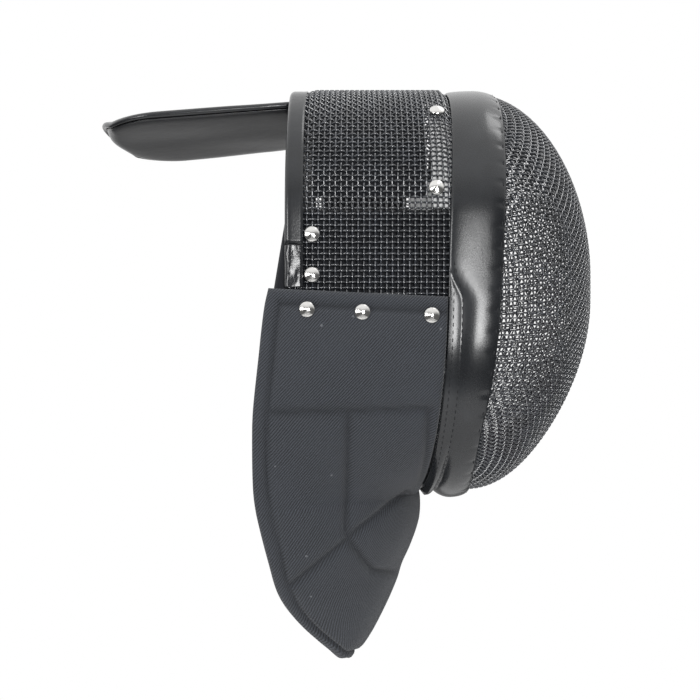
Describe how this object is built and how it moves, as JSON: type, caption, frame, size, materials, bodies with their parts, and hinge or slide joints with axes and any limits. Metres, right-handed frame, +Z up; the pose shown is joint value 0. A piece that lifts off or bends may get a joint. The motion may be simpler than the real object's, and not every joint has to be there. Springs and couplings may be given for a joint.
{
  "type": "fencing mask",
  "caption": "Fencing mask with a domed mesh face, an arched side mesh, a padded rim band, a quilted neck bib and a padded rear tongue.",
  "frame": {"origin": "head seat: on the inner face of the crown pad, in the middle plane, where the top of the wearer's head sits", "axes": "+X to the mask's front, +Y to the wearer's left, +Z up"},
  "size_m": [0.3103, 0.2038, 0.3672],
  "materials": {
    "black_wire": "black painted steel wire, satin",
    "black_vinyl": "smooth black coated cloth, semi-gloss, lightly grained",
    "gloss_vinyl": "wrinkled glossy black coated cloth",
    "charcoal_twill": "charcoal twill, padded and quilted",
    "dark_lining": "dark soft lining cloth",
    "white_strip": "white coated webbing",
    "nickel": "polished nickel rivet caps"
  },
  "bodies": {
    "root": {"face_mesh": "black_wire", "side_mesh": "black_wire", "front_trim": "black_vinyl", "rear_trim": "black_vinyl", "edge_wrap_left": "gloss_vinyl", "edge_wrap_right": "gloss_vinyl", "head_pad": "dark_lining", "side_lining_left": "dark_lining", "side_lining_right": "dark_lining", "rim_strip_left": "white_strip", "rim_strip_right": "white_strip", "bib": "charcoal_twill", "tongue_cover": "black_vinyl", "tongue_pad": "black_vinyl", "rivet_upper_rear_left": "nickel", "rivet_upper_rear_right": "nickel", "rivet_lower_rear_left": "nickel", "rivet_lower_rear_right": "nickel", "rivet_bib_rear_left": "nickel", "rivet_bib_rear_right": "nickel", "rivet_bib_middle_left": "nickel", "rivet_bib_middle_right": "nickel", "rivet_bib_front_left": "nickel", "rivet_bib_front_right": "nickel", "rivet_rim_lower_left": "nickel", "rivet_rim_lower_right": "nickel", "rivet_rim_upper_left": "nickel", "rivet_rim_upper_right": "nickel"}
  },
  "joints": []
}
